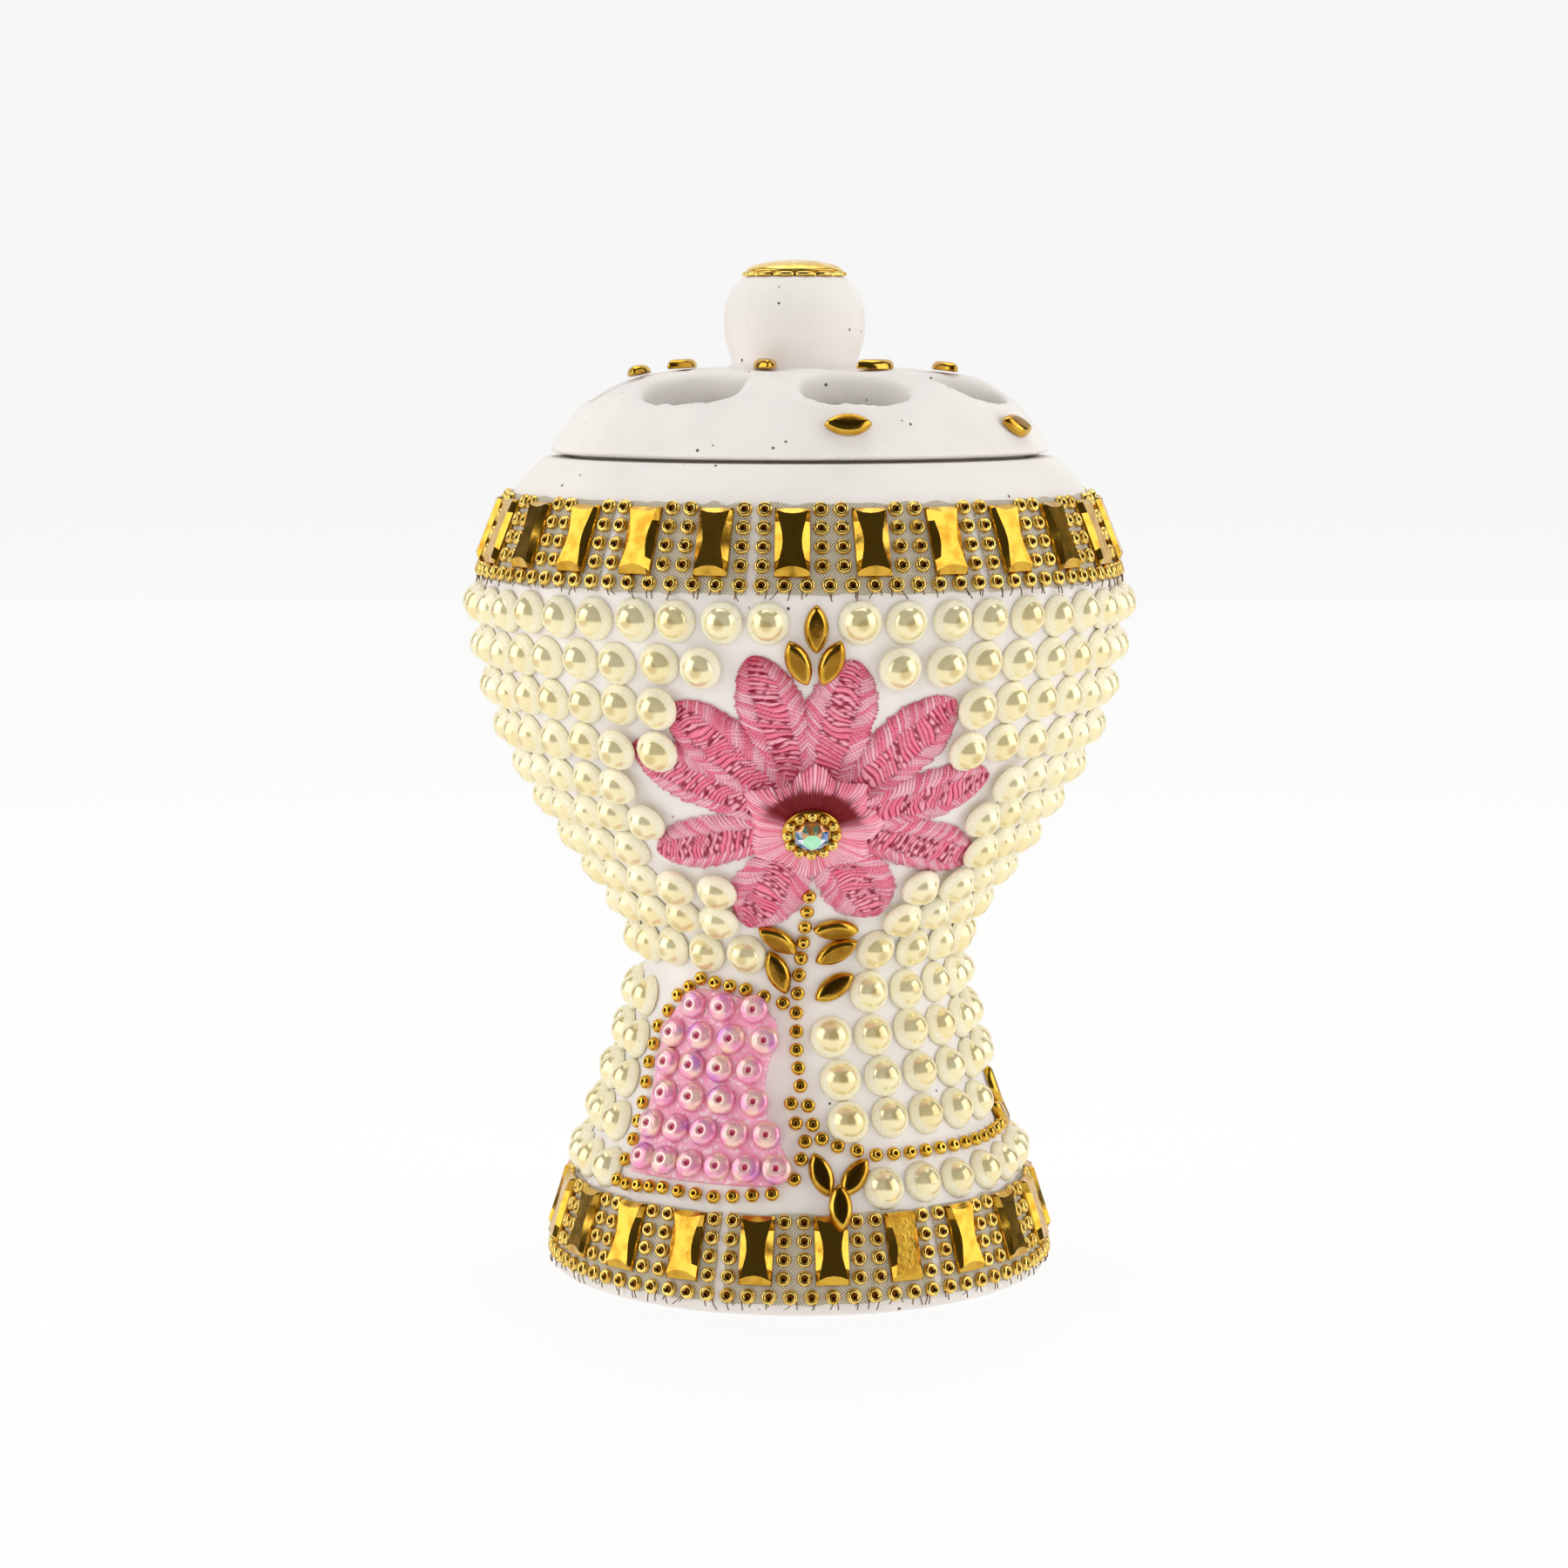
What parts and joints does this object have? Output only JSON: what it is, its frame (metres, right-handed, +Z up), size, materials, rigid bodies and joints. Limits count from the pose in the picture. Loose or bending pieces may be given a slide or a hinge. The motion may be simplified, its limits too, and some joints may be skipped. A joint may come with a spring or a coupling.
{
  "type": "powder jar",
  "caption": "Waisted lidded clay jar dressed with half pearls, gilt trim and leaves, an embroidered flower and a studded pink panel; the pierced domed lid lifts off by its knob.",
  "frame": {"origin": "centre of the foot ring on the surface it stands on", "axes": "+Z up along the jar's axis; -Y is the front, where the flower is; +X is to the right of someone facing the front"},
  "size_m": [0.0957, 0.0956, 0.1438],
  "materials": {
    "white_clay": "matt chalky paint over clay",
    "cream_pearl": "pearly",
    "gilt": "bright plated",
    "pale_gilt": "bright plated",
    "net_tape": "fine net",
    "pink_embroidery": "satin stitch",
    "rose_embroidery": "satin stitch",
    "rainbow_stone": "faceted, foiled",
    "pink_pad": "glittery pile",
    "pink_stud": "iridescent"
  },
  "bodies": {
    "jar": {"jar_body": "white_clay", "upper_trim_mesh": "net_tape", "upper_trim_plates": "gilt", "upper_trim_studs_1": "gilt", "upper_trim_studs_2": "gilt", "upper_trim_studs_3": "gilt", "upper_trim_studs_4": "gilt", "upper_trim_studs_5": "gilt", "upper_trim_studs_6": "gilt", "upper_trim_studs_7": "gilt", "upper_trim_studs_8": "gilt", "upper_trim_studs_9": "gilt", "lower_trim_mesh": "net_tape", "lower_trim_plates": "gilt", "lower_trim_studs_1": "gilt", "lower_trim_studs_2": "gilt", "lower_trim_studs_3": "gilt", "lower_trim_studs_4": "gilt", "lower_trim_studs_5": "gilt", "lower_trim_studs_6": "gilt", "lower_trim_studs_7": "gilt", "pearl_row_01": "cream_pearl", "pearl_row_02": "cream_pearl", "pearl_row_03": "cream_pearl", "pearl_row_04": "cream_pearl", "pearl_row_05": "cream_pearl", "pearl_row_06": "cream_pearl", "pearl_row_07": "cream_pearl", "pearl_row_08": "cream_pearl", "pearl_row_09": "cream_pearl", "pearl_row_10": "cream_pearl", "pearl_row_11": "cream_pearl", "pearl_row_12": "cream_pearl", "pearl_row_13": "cream_pearl", "pearl_row_14": "cream_pearl", "pearl_row_15": "cream_pearl", "top_sprig": "gilt", "flower_outer_petals": "pink_embroidery", "flower_inner_petals": "rose_embroidery", "stone_setting": "gilt", "stone": "rainbow_stone", "stone_beads": "pale_gilt", "stem_beads": "gilt", "stem_leaves": "gilt", "pink_panel_base": "pink_pad", "pink_panel_studs": "pink_stud", "panel_chain": "gilt", "side_chain": "gilt", "lower_sprig": "gilt", "side_sprig": "gilt"},
    "lid": {"lid": "white_clay", "lid_knob": "white_clay", "knob_cap_setting": "gilt", "knob_cap_dome": "gilt", "lid_leaves": "gilt"}
  },
  "joints": [
    {"name": "lid_lift", "type": "slide", "parent": "jar", "child": "lid", "axis": [0, 0, 1], "range_m": [0, 0.08]}
  ]
}
